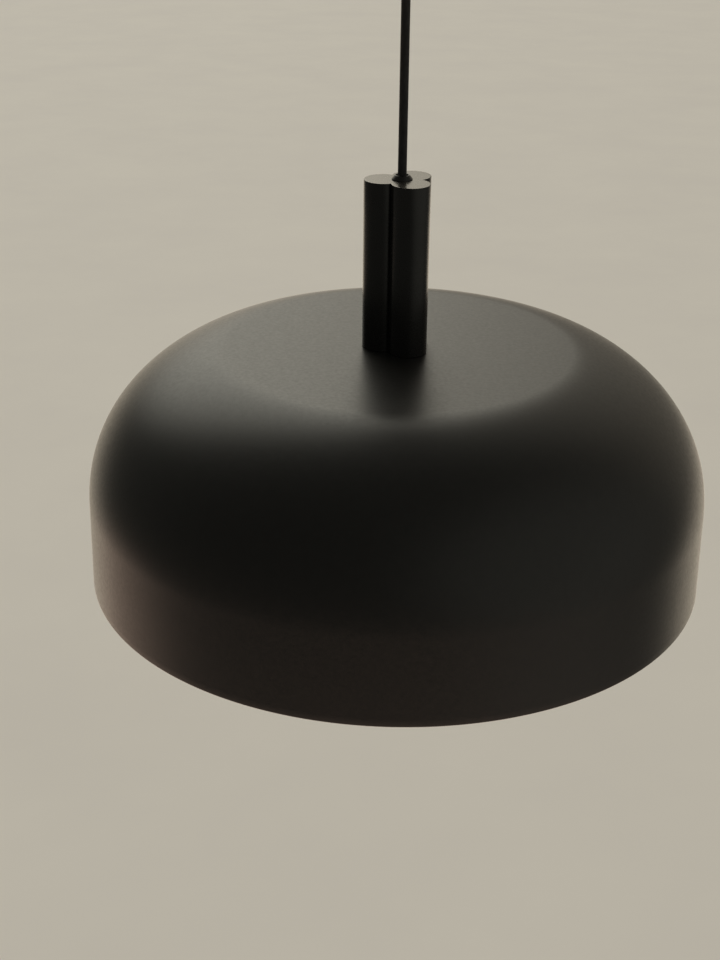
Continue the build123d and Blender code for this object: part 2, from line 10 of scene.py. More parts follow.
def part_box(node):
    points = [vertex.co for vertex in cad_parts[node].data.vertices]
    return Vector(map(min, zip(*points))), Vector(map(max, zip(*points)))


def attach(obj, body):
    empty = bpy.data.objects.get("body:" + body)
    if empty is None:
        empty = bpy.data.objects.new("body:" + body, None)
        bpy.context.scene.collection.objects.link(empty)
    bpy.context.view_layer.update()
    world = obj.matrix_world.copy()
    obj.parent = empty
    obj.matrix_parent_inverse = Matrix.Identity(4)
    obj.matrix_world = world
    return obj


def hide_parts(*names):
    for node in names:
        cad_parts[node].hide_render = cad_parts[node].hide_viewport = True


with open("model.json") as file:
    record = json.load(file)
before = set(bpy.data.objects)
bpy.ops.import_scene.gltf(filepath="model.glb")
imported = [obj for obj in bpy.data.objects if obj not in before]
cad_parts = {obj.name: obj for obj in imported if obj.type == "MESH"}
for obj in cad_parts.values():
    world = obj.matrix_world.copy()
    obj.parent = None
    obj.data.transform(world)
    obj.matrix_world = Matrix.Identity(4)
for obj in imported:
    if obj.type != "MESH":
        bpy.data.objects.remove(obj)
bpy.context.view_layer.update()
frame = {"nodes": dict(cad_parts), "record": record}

MM = 0.001

# Heights and radii that the frame gives
SHADE_LOW, SHADE_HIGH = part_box("shade")
STEM_LOW, STEM_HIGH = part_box("stem")
GLAND_LOW, GLAND_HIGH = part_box("stem_gland")
GRIP_LOW, GRIP_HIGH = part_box("grip_body")
CORD_LOW, CORD_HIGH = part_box("pendant_cord")
CUP_LOW, CUP_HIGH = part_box("canopy_cup")
RIM_Z = SHADE_LOW.z
SHADE_TOP_Z = SHADE_HIGH.z
STEM_TOP_Z = STEM_HIGH.z
THREAD_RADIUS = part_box("hollow_nipple")[1].x
CORD_RADIUS = CORD_HIGH.x

# The outlines of shade and stem, as in the CAD model
SHADE_RADIUS = 225 * MM
RIM_RADIUS = 226 * MM
WALL_HEIGHT = 61.5 * MM
FLAT_RADIUS = 124 * MM
SHOULDER_RISE = 73.5 * MM
SHOULDER_REACH = 31 * MM
SHEET = 1.2 * MM  # thickness of the shade's metal
HEM_HEIGHT = 6 * MM
HEM_THICKNESS = 3 * MM
HEM_EDGE = 0.8 * MM
LOBE_RADIUS = 13.5 * MM
LOBE_OFFSET = 12.7 * MM  # from the stem's axis to a lobe's

E27_PITCH = 25.4 / 7 * MM
ON_AXIS = 1e-7  # a radius below this is a point on the axis

# Camera, in metres and radians
CAMERA_PLACE = (0.0218, -1.0325, 0.0743)
CAMERA_PITCH = 0.4433  # downwards
CAMERA_YAW = -0.0469  # from +Y towards +X
CAMERA_ROLL = 0.0100
LENS = 57.6  # focal length in millimetres

# Cord: a braid of flat yarns over a round core
YARNS_EACH_WAY = 12
YARN_WIDTH = 0.92 * MM
YARN_THICKNESS = 0.30 * MM
YARN_LIFT = 0.38  # share of its thickness that a yarn rises and sinks at the crossings
YARN_SIDES = 6
YARN_STEPS = 6  # for each rise and fall of a yarn
BRAID_LAY = 17 * MM  # length in which a yarn goes once round
CORD_OVERLAP = 2.3 * MM  # how far it carries on into each bend


# Camera

def make_camera():
    """Stands in front of the lamp and above it, looking down and a little to the left."""
    data = bpy.data.cameras.new("camera")
    data.lens = LENS
    camera = bpy.data.objects.new("camera", data)
    level_ahead = Vector((sin(CAMERA_YAW), cos(CAMERA_YAW), 0))
    forward = level_ahead * cos(CAMERA_PITCH) + Vector((0, 0, -sin(CAMERA_PITCH)))
    right = Vector((cos(CAMERA_YAW), -sin(CAMERA_YAW), 0))
    up = right.cross(forward)
    level = Matrix((right, up, -forward)).transposed()
    turned = level @ Matrix.Rotation(CAMERA_ROLL, 3, "Z")
    camera.matrix_world = Matrix.Translation(CAMERA_PLACE) @ turned.to_4x4()
    bpy.context.scene.collection.objects.link(camera)
    bpy.context.scene.camera = camera


# Mesh tools

def mesh_object(name, vertices, faces, sharp_angle=30.0):
    """Smooth-shaded object, sharp where its faces meet at more than an angle in degrees."""
    mesh = bpy.data.meshes.new(name)
    mesh.from_pydata(vertices, [], faces)
    work = bmesh.new()
    work.from_mesh(mesh)
    bmesh.ops.recalc_face_normals(work, faces=work.faces)
    work.to_mesh(mesh)
    work.free()
    mesh.shade_smooth()
    mesh.set_sharp_from_angle(angle=radians(sharp_angle))
    piece = bpy.data.objects.new(name, mesh)
    bpy.context.scene.collection.objects.link(piece)
    return piece


def revolved(outline, steps, radius_at=None):
    """Vertices and faces of a closed (radius, height) outline turned about the lamp's axis.

    radius_at(radius, height, angle) may push a point in or out, for ribs and threads.
    """
    vertices, rows, faces = [], [], []
    for radius, height in outline:
        first = len(vertices)
        if radius < ON_AXIS:
            vertices.append((0, 0, height))
            rows.append([first] * steps)
            continue
        for i in range(steps):
            angle = 2 * pi * i / steps
            r = radius_at(radius, height, angle) if radius_at else radius
            vertices.append((r * cos(angle), r * sin(angle), height))
        rows.append([first + i for i in range(steps)])
    for row, below in zip(rows, rows[1:] + rows[:1]):
        if row[0] == row[1] and below[0] == below[1]:
            continue
        for i in range(steps):
            j = (i + 1) % steps
            face = list(dict.fromkeys((row[i], row[j], below[j], below[i])))
            faces.append(face)
    return vertices, faces


def lathe(name, outline, steps=192, radius_at=None, sharp_angle=30.0):
    """Object from an outline turned about the lamp's axis."""
    vertices, faces = revolved(outline, steps, radius_at)
    return mesh_object(name, vertices, faces, sharp_angle)


def rounded(corners, steps=5):
    """Outline from (radius, height, fillet) corners, each fillet an arc."""
    outline = []
    for i, (radius, height, fillet) in enumerate(corners):
        corner = Vector((radius, height))
        if not fillet:
            outline.append(tuple(corner))
            continue
        before = (Vector(corners[i - 1][:2]) - corner).normalized()
        after = (Vector(corners[(i + 1) % len(corners)][:2]) - corner).normalized()
        half = before.angle(after) / 2
        centre = corner + (before + after).normalized() * fillet / sin(half)
        start = corner + before * fillet / tan(half) - centre
        end = corner + after * fillet / tan(half) - centre
        turn = atan2(start.x * end.y - start.y * end.x, start.dot(end))
        for k in range(steps + 1):
            arm = start.copy()
            arm.rotate(Matrix.Rotation(turn * k / steps, 2))
            outline.append(tuple(centre + arm))
    return outline


def bezier(a, b, c, d, steps):
    """Points of a cubic curve, both ends included."""
    points = []
    for i in range(steps + 1):
        t = i / steps
        s = 1 - t
        weights = (s * s * s, 3 * s * s * t, 3 * s * t * t, t * t * t)
        x = sum(w * p[0] for w, p in zip(weights, (a, b, c, d)))
        z = sum(w * p[1] for w, p in zip(weights, (a, b, c, d)))
        points.append((x, z))
    return points


def quarter_circle(x, z, radius, start, steps=6):
    """Points of a quarter of a circle from a start angle, both ends included."""
    angles = [start + pi / 2 * i / steps for i in range(steps + 1)]
    return [(x + radius * cos(a), z + radius * sin(a)) for a in angles]


def straight(a, b, steps):
    """Points along a straight run, both ends left out."""
    return [
        (a[0] + (b[0] - a[0]) * i / steps, a[1] + (b[1] - a[1]) * i / steps)
        for i in range(1, steps)
    ]


def tube_faces(rings, sides):
    """Side faces and two end faces of a tube whose vertices lie ring after ring."""
    faces = []
    for i in range(rings - 1):
        for k in range(sides):
            a, b = i * sides + k, i * sides + (k + 1) % sides
            faces.append((a, b, b + sides, a + sides))
    faces.append(list(range(sides)))
    faces.append([(rings - 1) * sides + k for k in range(sides)])
    return faces


# Material tools

# What grained makes: where is the place on the piece, and grain is its fine relief
Look = namedtuple("Look", "material tree shader where grain")


def new_material(name, base, roughness, metallic=0.0):
    """Material, its node tree and its principled shader."""
    material = bpy.data.materials.new(name)
    material.use_nodes = True
    tree = material.node_tree
    shader = tree.nodes["Principled BSDF"]
    shader.inputs["Base Color"].default_value = (*base, 1)
    shader.inputs["Roughness"].default_value = roughness
    shader.inputs["Metallic"].default_value = metallic
    return material, tree, shader


def add(tree, kind, inputs=None, **settings):
    """Shader node with some of its inputs and settings set."""
    node = tree.nodes.new("ShaderNode" + kind)
    for name, value in settings.items():
        setattr(node, name, value)
    for name, value in (inputs or {}).items():
        node.inputs[name].default_value = value
    return node


def place(tree, stretch=(1, 1, 1)):
    """Position on the piece in metres, stretched for grain with a direction."""
    coordinates = add(tree, "TexCoord")
    mapping = add(tree, "Mapping", {"Scale": stretch})
    tree.links.new(coordinates.outputs["Object"], mapping.inputs["Vector"])
    return mapping.outputs["Vector"]


def noise(tree, where, size, detail=4.0, roughness=0.55):
    """Noise whose largest features are about size across, in metres."""
    inputs = {"Scale": 1 / size, "Detail": detail, "Roughness": roughness}
    node = add(tree, "TexNoise", inputs)
    tree.links.new(where, node.inputs["Vector"])
    return node.outputs["Fac"]


def spread(tree, value, low, high, start=0.3, end=0.7):
    """Maps a noise value to a range."""
    inputs = {"From Min": start, "From Max": end, "To Min": low, "To Max": high}
    node = add(tree, "MapRange", inputs)
    tree.links.new(value, node.inputs["Value"])
    return node.outputs["Result"]


def tint(tree, shader, value, dark, light, start=0.3, end=0.7):
    """Colours the surface from dark to light by a noise value."""
    ramp = add(tree, "ValToRGB")
    ramp.color_ramp.elements[0].position = start
    ramp.color_ramp.elements[0].color = (*dark, 1)
    ramp.color_ramp.elements[1].position = end
    ramp.color_ramp.elements[1].color = (*light, 1)
    tree.links.new(value, ramp.inputs["Fac"])
    tree.links.new(ramp.outputs["Color"], shader.inputs["Base Color"])


def bump(tree, shader, height, depth, strength=1.0, under=None):
    """Raises the surface by a height value; bumps can be laid over each other."""
    node = add(tree, "Bump", {"Strength": strength, "Distance": depth})
    tree.links.new(height, node.inputs["Height"])
    if under:
        tree.links.new(under, node.inputs["Normal"])
    tree.links.new(node.outputs["Normal"], shader.inputs["Normal"])
    return node.outputs["Normal"]


def vary_roughness(tree, shader, value, low, high):
    """Makes the gloss uneven between two roughnesses by a noise value."""
    tree.links.new(spread(tree, value, low, high), shader.inputs["Roughness"])


def grained(name, dark, light, roughness, grain, depth, metallic=0.0, stretch=(1, 1, 1)):
    """Common base: two-tone mottling, uneven gloss and a fine relief of one grain size."""
    middle = tuple((a + b) / 2 for a, b in zip(dark, light))
    material, tree, shader = new_material(name, middle, roughness, metallic)
    where = place(tree, stretch)
    mottling, gloss_patches = grain * 14, grain * 5
    tint(tree, shader, noise(tree, where, mottling), dark, light)
    patches = noise(tree, where, gloss_patches)
    vary_roughness(tree, shader, patches, roughness * 0.88, roughness * 1.12)
    relief = bump(tree, shader, noise(tree, where, grain, 6.0), depth)
    return Look(material, tree, shader, where, relief)


def over_grain(look, height, depth, strength=1.0):
    """Lays a second, larger relief over a look's fine grain."""
    bump(look.tree, look.shader, height, depth, strength, look.grain)


def add_tracks(look, scale, gap, first, second, between):
    """Colours a circuit board with a pattern of tracks and the gaps between them."""
    tracks = add(look.tree, "TexBrick", {"Scale": scale, "Mortar Size": gap})
    tracks.inputs["Color1"].default_value = (*first, 1)
    tracks.inputs["Color2"].default_value = (*second, 1)
    tracks.inputs["Mortar"].default_value = (*between, 1)
    look.tree.links.new(look.where, tracks.inputs["Vector"])
    look.tree.links.new(tracks.outputs["Color"], look.shader.inputs["Base Color"])


def wave(look, direction, scale, distortion=0.0):
    """Value of a pattern of soft bands across one direction."""
    inputs = {"Scale": scale, "Distortion": distortion}
    bands = add(look.tree, "TexWave", inputs, bands_direction=direction)
    look.tree.links.new(look.where, bands.inputs["Vector"])
    return bands.outputs["Fac"]


def let_light_in(look, weight, depth):
    """Lets light scatter under the surface, to a depth in metres."""
    look.shader.inputs["Subsurface Weight"].default_value = weight
    look.shader.inputs["Subsurface Scale"].default_value = depth


# Materials: one for each slot of the record, the shade's inside and the stem's end with its
# painted highlight

def black_powder_coat():
    """Matt black powder coat: faint orange peel with a finer sand on top."""
    dark, light = (0.0085, 0.0083, 0.0080), (0.0115, 0.0110, 0.0104)
    look = grained("black_powder_coat", dark, light, 0.36, 0.5 * MM, 0.010 * MM)
    over_grain(look, noise(look.tree, look.where, 2.6 * MM, 2.0), 0.012 * MM)
    return look.material


def white_enamel():
    """Inside of the shade: satin white enamel, a little warm."""
    dark, light = (0.79, 0.77, 0.73), (0.82, 0.80, 0.765)
    look = grained("white_enamel", dark, light, 0.45, 0.6 * MM, 0.012 * MM)
    over_grain(look, noise(look.tree, look.where, 3.0 * MM, 2.0), 0.02 * MM)
    return look.material


def black_stem_coat():
    """Smooth satin black over extruded aluminium, with hair lines along its length."""
    dark, light = (0.0075, 0.0073, 0.0070), (0.0100, 0.0096, 0.0092)
    look = grained("black_stem_coat", dark, light, 0.27, 0.6 * MM, 0.0004 * MM)
    lines = noise(look.tree, place(look.tree, (1, 1, 0.02)), 0.5 * MM, 2.0)
    over_grain(look, lines, 0.0005 * MM)
    return look.material


def stem_end_painted_highlight():
    """The stem's end face: the stem's coat painted lighter and warmer, with a stronger,
    warm-tinted reflection, as a painted highlight where the top catches the light; a little
    smoother and glossier, with faint grinding marks.
    """
    # Colours lighter than the sides and a warm specular tint: painted highlight and painted
    # reflection on the end face
    dark, light = (0.020, 0.019, 0.017), (0.026, 0.024, 0.021)
    look = grained("stem_end_painted_highlight", dark, light, 0.25, 0.4 * MM, 0.0008 * MM)
    look.shader.inputs["IOR"].default_value = 2.05
    look.shader.inputs["Specular Tint"].default_value = (1.0, 0.93, 0.84, 1)
    grinding = noise(look.tree, place(look.tree, (0.05, 1, 1)), 0.3 * MM, 2.0)
    over_grain(look, grinding, 0.0008 * MM)
    return look.material


def textile_cord():
    """Black polyester yarn: fine filaments with a soft sheen."""
    dark, light = (0.004, 0.004, 0.0045), (0.022, 0.021, 0.021)
    look = grained(
        "textile_cord", dark, light, 0.72, 0.12 * MM, 0.05 * MM, stretch=(1, 1, 0.35)
    )
    look.shader.inputs["Sheen Weight"].default_value = 0.25
    look.shader.inputs["Sheen Roughness"].default_value = 0.5
    over_grain(look, wave(look, "DIAGONAL", 320.0, 0.4), 0.08 * MM, 0.5)
    return look.material


def cord_core():
    """Dark rubber of the cord's two short bends."""
    dark, light = (0.020, 0.020, 0.020), (0.045, 0.044, 0.042)
    return grained("cord_core", dark, light, 0.75, 0.2 * MM, 0.03 * MM).material


def black_plastic():
    """Moulded phenolic: fine spark-eroded texture with a few flow marks."""
    dark, light = (0.010, 0.010, 0.010), (0.020, 0.019, 0.018)
    look = grained("black_plastic", dark, light, 0.48, 0.25 * MM, 0.012 * MM)
    flow = noise(look.tree, place(look.tree, (1, 1, 0.2)), 5.0 * MM, 2.0)
    over_grain(look, flow, 0.02 * MM)
    return look.material


def black_screw():
    """Blackened steel, a little of the metal showing through."""
    dark, light = (0.012, 0.012, 0.012), (0.030, 0.029, 0.028)
    return grained("black_screw", dark, light, 0.38, 0.15 * MM, 0.008 * MM, 0.6).material


def clear_nylon():
    """Milky natural nylon."""
    dark, light = (0.62, 0.60, 0.52), (0.76, 0.74, 0.66)
    look = grained("clear_nylon", dark, light, 0.4, 0.3 * MM, 0.01 * MM)
    let_light_in(look, 0.3, 1.0 * MM)
    return look.material


def white_plastic():
    """Bulb housing and terminal block: dense white plastic."""
    dark, light = (0.74, 0.73, 0.70), (0.82, 0.81, 0.78)
    look = grained("white_plastic", dark, light, 0.38, 0.3 * MM, 0.006 * MM)
    let_light_in(look, 0.1, 1.0 * MM)
    return look.material


def zinc_steel():
    """Zinc-plated pressed steel: pale cells and drawing lines."""
    dark, light = (0.46, 0.46, 0.45), (0.54, 0.54, 0.53)
    look = grained("zinc_steel", dark, light, 0.36, 0.3 * MM, 0.008 * MM, 1.0)
    cells = add(look.tree, "TexVoronoi", {"Scale": 260.0})
    look.tree.links.new(look.where, cells.inputs["Vector"])
    tint(look.tree, look.shader, cells.outputs["Distance"], light, dark, 0.1, 0.9)
    lines = noise(look.tree, place(look.tree, (0.05, 1, 1)), 0.3 * MM, 2.0)
    over_grain(look, lines, 0.006 * MM)
    return look.material


def brass():
    """Bare brass with faint turning marks."""
    dark, light = (0.62, 0.42, 0.16), (0.80, 0.60, 0.28)
    look = grained("brass", dark, light, 0.30, 0.25 * MM, 0.006 * MM, 1.0)
    over_grain(look, wave(look, "Z", 700.0, 0.6), 0.003 * MM)
    return look.material


def nickel_cap():
    """Nickel-plated bulb cap, scuffed along its thread crests."""
    dark, light = (0.50, 0.47, 0.42), (0.72, 0.69, 0.63)
    look = grained("nickel_cap", dark, light, 0.26, 0.4 * MM, 0.006 * MM, 1.0)
    scuffs = noise(look.tree, place(look.tree, (1, 1, 5)), 1.2 * MM, 5.0, 0.7)
    vary_roughness(look.tree, look.shader, scuffs, 0.18, 0.42)
    return look.material


def ceramic():
    """Unglazed steatite: off-white with small dark specks."""
    speck, glaze_free = (0.36, 0.33, 0.29), (0.82, 0.79, 0.73)
    look = grained("ceramic", speck, glaze_free, 0.62, 0.3 * MM, 0.02 * MM)
    specks = noise(look.tree, look.where, 0.7 * MM, 1.0)
    tint(look.tree, look.shader, specks, speck, glaze_free, 0.27, 0.34)
    return look.material


def wire_plastic(name, dark, light):
    """Insulation of a core, a little uneven from the extruder."""
    look = grained(name, dark, light, 0.36, 0.3 * MM, 0.008 * MM)
    over_grain(look, noise(look.tree, look.where, 4.0 * MM, 2.0), 0.03 * MM)
    return look.material


def green_yellow_wire():
    """Earth core: green with a yellow stripe that winds round it."""
    green, yellow = (0.05, 0.32, 0.07), (0.85, 0.72, 0.05)
    look = grained("green_yellow_wire", green, yellow, 0.36, 0.3 * MM, 0.008 * MM)
    tint(look.tree, look.shader, wave(look, "DIAGONAL", 110.0), green, yellow, 0.45, 0.52)
    return look.material


def black_glass():
    """Glassy black insulator round the bulb's tip contact."""
    dark, light = (0.006, 0.006, 0.009), (0.014, 0.014, 0.018)
    return grained("black_glass", dark, light, 0.12, 0.8 * MM, 0.01 * MM).material


def solder():
    """Dull tin with a lumpy surface."""
    dark, light = (0.45, 0.45, 0.44), (0.66, 0.65, 0.63)
    return grained("solder", dark, light, 0.35, 0.5 * MM, 0.04 * MM, 1.0).material


def aluminium_plate():
    """White-masked aluminium circuit plate with bare metal showing through."""
    metal, dull_mask, mask = (0.60, 0.60, 0.58), (0.78, 0.78, 0.77), (0.82, 0.82, 0.81)
    look = grained("aluminium_plate", metal, mask, 0.4, 0.3 * MM, 0.008 * MM, 0.3)
    add_tracks(look, 140.0, 0.03, mask, dull_mask, metal)
    return look.material


def led_phosphor():
    """Yellow phosphor over the LED chips."""
    dark, light = (0.85, 0.66, 0.16), (0.95, 0.80, 0.30)
    return grained("led_phosphor", dark, light, 0.5, 0.2 * MM, 0.01 * MM).material


def circuit_board():
    """Green solder mask over a grid of tracks."""
    mask, pale_mask, track = (0.02, 0.16, 0.06), (0.03, 0.20, 0.08), (0.10, 0.30, 0.13)
    look = grained("circuit_board", mask, track, 0.35, 0.3 * MM, 0.01 * MM)
    add_tracks(look, 220.0, 0.06, mask, pale_mask, track)
    return look.material


def opal_plastic():
    """Opal diffuser, lit warm from inside."""
    dark, light = (0.84, 0.81, 0.76), (0.90, 0.88, 0.84)
    look = grained("opal_plastic", dark, light, 0.35, 0.4 * MM, 0.004 * MM)
    let_light_in(look, 0.2, 4.0 * MM)
    look.shader.inputs["Emission Color"].default_value = (1.0, 0.74, 0.45, 1)
    look.shader.inputs["Emission Strength"].default_value = 3.0
    return look.material


def make_looks():
    """Every material, by the record's slot name."""
    makers = (
        black_powder_coat, black_stem_coat, textile_cord, cord_core, black_plastic, black_screw,
        clear_nylon, white_plastic, zinc_steel, brass, nickel_cap, ceramic, green_yellow_wire,
        black_glass, solder, aluminium_plate, led_phosphor, circuit_board, opal_plastic,
    )
    looks = {maker.__name__: maker() for maker in makers}
    looks["brown_wire"] = wire_plastic("brown_wire", (0.13, 0.055, 0.025), (0.17, 0.075, 0.035))
    looks["blue_wire"] = wire_plastic("blue_wire", (0.03, 0.12, 0.38), (0.04, 0.16, 0.46))
    return looks


def dress_cad_nodes(looks):
    """Gives each CAD node its slot's material and breaks its sharp edges a little."""
    slots = {part["node"]: part["material_slot"] for part in frame["record"]["subparts"]}
    for name, node in frame["nodes"].items():
        for slot in node.material_slots:
            slot.material = looks[slots[name]]
        weld = node.modifiers.new("weld", "WELD")
        weld.merge_threshold = 0.001 * MM
        edges = node.modifiers.new("broken_edges", "BEVEL")
        edges.width = 0.12 * MM
        edges.segments = 2
        edges.limit_method = "ANGLE"
        edges.angle_limit = radians(35)
        edges.harden_normals = True


# Cord

def cord_route():
    """Centreline of the taut cord, straight up from the gland's mouth into the grip's mouth."""
    low, high = CORD_LOW.z - CORD_OVERLAP, CORD_HIGH.z + CORD_OVERLAP
    heights = (low, (low + high) / 2, high)
    curve = bpy.data.curves.new("cord_route", "CURVE")
    curve.dimensions = "3D"
    curve.resolution_u = 24
    spline = curve.splines.new("NURBS")
    spline.points.add(len(heights) - 1)
    for point, height in zip(spline.points, heights):
        point.co = (0, 0, height, 1)
    spline.order_u = 3
    spline.use_endpoint_u = True
    route = bpy.data.objects.new("cord_route", curve)
    line = bpy.data.meshes.new_from_object(route)
    points = [vertex.co.copy() for vertex in line.vertices]
    bpy.data.objects.remove(route)
    return points


def distances(points):
    """How far along the line each of its points lies."""
    marks = [0.0]
    for a, b in zip(points, points[1:]):
        marks.append(marks[-1] + (b - a).length)
    return marks


def along(points, marks, distance):
    """Point and direction of the line at a distance from its start."""
    i = 0
    while i < len(points) - 2 and marks[i + 1] < distance:
        i += 1
    step = points[i + 1] - points[i]
    share = (distance - marks[i]) / (marks[i + 1] - marks[i])
    return points[i] + step * share, step.normalized()


def frame_at(points, marks, distance):
    """Point of the line at a distance from its start, its direction and two across it."""
    centre, forward = along(points, marks, distance)
    side = Vector((0, 1, 0)).cross(forward).normalized()
    return centre, forward, side, forward.cross(side)


def yarn(points, way, start):
    """Vertices and faces of one flat yarn that winds round the cord's line.

    It lies on top of the yarns that wind the other way at one crossing and under them at
    the next.
    """
    marks = distances(points)
    length = marks[-1]
    middle = CORD_RADIUS - YARN_THICKNESS * (0.5 + YARN_LIFT)
    slope = middle * 2 * pi / BRAID_LAY
    steps = int(length / BRAID_LAY * YARNS_EACH_WAY * YARN_STEPS)
    vertices = []
    for i in range(steps + 1):
        centre, forward, side, front = frame_at(points, marks, length * i / steps)
        turn = 2 * pi * length * i / steps / BRAID_LAY
        angle = start + way * turn
        outward = side * cos(angle) + front * sin(angle)
        around = front * cos(angle) - side * sin(angle)
        across = (forward * slope - around * way).normalized()
        lift = way * cos(YARNS_EACH_WAY * (turn + way * start)) * YARN_LIFT * YARN_THICKNESS
        for k in range(YARN_SIDES):
            a = 2 * pi * k / YARN_SIDES
            wide = across * cos(a) * YARN_WIDTH / 2
            tall = outward * sin(a) * YARN_THICKNESS / 2
            vertices.append(centre + outward * (middle + lift) + wide + tall)
    return vertices, tube_faces(steps + 1, YARN_SIDES)


def rubber_core(points, radius, sides=32):
    """Vertices and faces of the round core under the braid."""
    marks = distances(points)
    vertices = []
    for mark in marks:
        centre, _, side, front = frame_at(points, marks, mark)
        for k in range(sides):
            a = 2 * pi * k / sides
            vertices.append(centre + (side * cos(a) + front * sin(a)) * radius)
    return vertices, tube_faces(len(marks), sides)


def braided_cord(looks):
    """Round braid of flat yarns over a core, all along the cord's route."""
    points = cord_route()
    shells = [rubber_core(points, CORD_RADIUS - 2 * YARN_THICKNESS)]
    for way in (1, -1):
        for i in range(YARNS_EACH_WAY):
            shells.append(yarn(points, way, 2 * pi * i / YARNS_EACH_WAY))
    vertices, faces = [], []
    for shell_vertices, shell_faces in shells:
        first = len(vertices)
        vertices += shell_vertices
        faces += [[first + v for v in face] for face in shell_faces]
    cord = mesh_object("pendant_cord_braid", vertices, faces, 60.0)
    cord.data.materials.append(looks["textile_cord"])
    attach(cord, "cord")
    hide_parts("pendant_cord")


# Pieces that stand for CAD nodes

def stand_in(piece, body, node):
    """Makes a piece ride on a body and stand for a CAD node."""
    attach(piece, body)
    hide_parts(node)


def finish_piece(piece, looks, body, node, slot):
    """Gives a piece its slot's material and makes it stand for a CAD node."""
    piece.data.materials.append(looks[slot])
    stand_in(piece, body, node)


def shade_outline():
    """Outer skin from the hem up, then the inner skin back down.

    Returns the outline, the place in it where the inner skin starts, and how many points
    that skin has.
    """
    wall_z = RIM_Z + WALL_HEIGHT
    inner = SHADE_RADIUS - SHEET
    hem_inner = RIM_RADIUS - HEM_THICKNESS
    under = SHADE_TOP_Z - SHEET
    hem_foot = quarter_circle(hem_inner + HEM_EDGE, RIM_Z + HEM_EDGE, HEM_EDGE, pi)
    hem_foot += quarter_circle(RIM_RADIUS - HEM_EDGE, RIM_Z + HEM_EDGE, HEM_EDGE, 1.5 * pi)
    outer_foot, outer_head = (RIM_RADIUS, RIM_Z + HEM_EDGE), (SHADE_RADIUS, wall_z)
    outer = straight(outer_foot, outer_head, 12)
    outer += bezier(
        outer_head,
        (SHADE_RADIUS, wall_z + SHOULDER_RISE),
        (FLAT_RADIUS + SHOULDER_REACH, SHADE_TOP_Z),
        (FLAT_RADIUS, SHADE_TOP_Z),
        56,
    )
    outer += straight((FLAT_RADIUS, SHADE_TOP_Z), (THREAD_RADIUS, SHADE_TOP_Z), 12)
    outer.append((THREAD_RADIUS, SHADE_TOP_Z))
    inside = [(THREAD_RADIUS, under)]
    inside += straight((THREAD_RADIUS, under), (FLAT_RADIUS, under), 12)
    inside += bezier(
        (FLAT_RADIUS, under),
        (FLAT_RADIUS + SHOULDER_REACH, under),
        (inner, wall_z + SHOULDER_RISE),
        (inner, wall_z),
        48,
    )
    hem_top = RIM_Z + HEM_HEIGHT
    inside += straight((inner, wall_z), (RIM_RADIUS - SHEET, hem_top + 0.6 * MM), 10)
    hem_edge = [
        (RIM_RADIUS - SHEET, hem_top + 0.3 * MM),
        (RIM_RADIUS - SHEET - 0.5 * MM, hem_top),
        (hem_inner + 0.6 * MM, hem_top - 0.05 * MM),
        (hem_inner + 0.15 * MM, hem_top - 0.3 * MM),
        (hem_inner, hem_top - 0.8 * MM),
    ]
    return hem_foot + outer + inside + hem_edge, len(hem_foot + outer), len(inside)


def shade_shell(looks):
    """Spun shell, black outside and white inside."""
    outline, first_inside, inside_count = shade_outline()
    steps = 256
    shell = lathe("shade_shell", outline, steps, sharp_angle=50.0)
    shell.data.materials.append(looks["black_powder_coat"])
    shell.data.materials.append(white_enamel())
    inside_rows = range(first_inside, first_inside + inside_count)
    for face in shell.data.polygons:
        face.material_index = int(face.index // steps in inside_rows)
    stand_in(shell, "lamp", "shade")


def lobed_radius(angle, lobe_radius):
    """Distance from the axis to the three-lobed outline in one direction."""
    best = 0.0
    for lobe in range(3):
        off = angle - pi - lobe * 2 * pi / 3
        along, across = LOBE_OFFSET * cos(off), LOBE_OFFSET * sin(off)
        if along > 0 or abs(across) < lobe_radius:
            best = max(best, along + sqrt(max(lobe_radius**2 - across**2, 0.0)))
    return best


def stem_rings(low, high, edge):
    """Rings of the column as (bore radius, lobe radius, height), one radius of the two given."""
    rings = [(THREAD_RADIUS, None, low), (THREAD_RADIUS, None, high)]
    rings += [(None, LOBE_RADIUS - edge * 3, high), (None, LOBE_RADIUS - edge, high)]
    for i in range(1, 4):
        a = pi / 2 * i / 3
        rings.append((None, LOBE_RADIUS - edge + edge * sin(a), high - edge + edge * cos(a)))
    for share in (0.2, 0.4, 0.6, 0.8):
        rings.append((None, LOBE_RADIUS, high + (low - high) * share))
    rings += [(None, LOBE_RADIUS, low + edge), (None, LOBE_RADIUS - edge, low)]
    return rings


def lobed_stem(looks):
    """Extruded column, its edge rounded at the top and broken at the foot."""
    steps = 360
    edge = 0.35 * MM
    rings = stem_rings(STEM_LOW.z, STEM_HIGH.z, edge)
    vertices, faces = [], []
    for round_radius, lobe_radius, z in rings:
        for i in range(steps):
            angle = 2 * pi * i / steps
            r = round_radius or lobed_radius(angle, lobe_radius)
            vertices.append((r * cos(angle), r * sin(angle), z))
    for row in range(len(rings)):
        below = (row + 1) % len(rings)
        for i in range(steps):
            j = (i + 1) % steps
            faces.append((row * steps + i, row * steps + j, below * steps + j, below * steps + i))
    column = mesh_object("lobed_stem", vertices, faces, 28.0)
    column.data.materials.append(looks["black_stem_coat"])
    # The end face takes a lighter, warmer copy of the stem's coat: a painted highlight on the
    # stem's top
    column.data.materials.append(stem_end_painted_highlight())
    for face in column.data.polygons:
        level = min(column.data.vertices[v].co.z for v in face.vertices)
        face.material_index = int(level > STEM_HIGH.z - edge / 4)
    stand_in(column, "lamp", "stem")


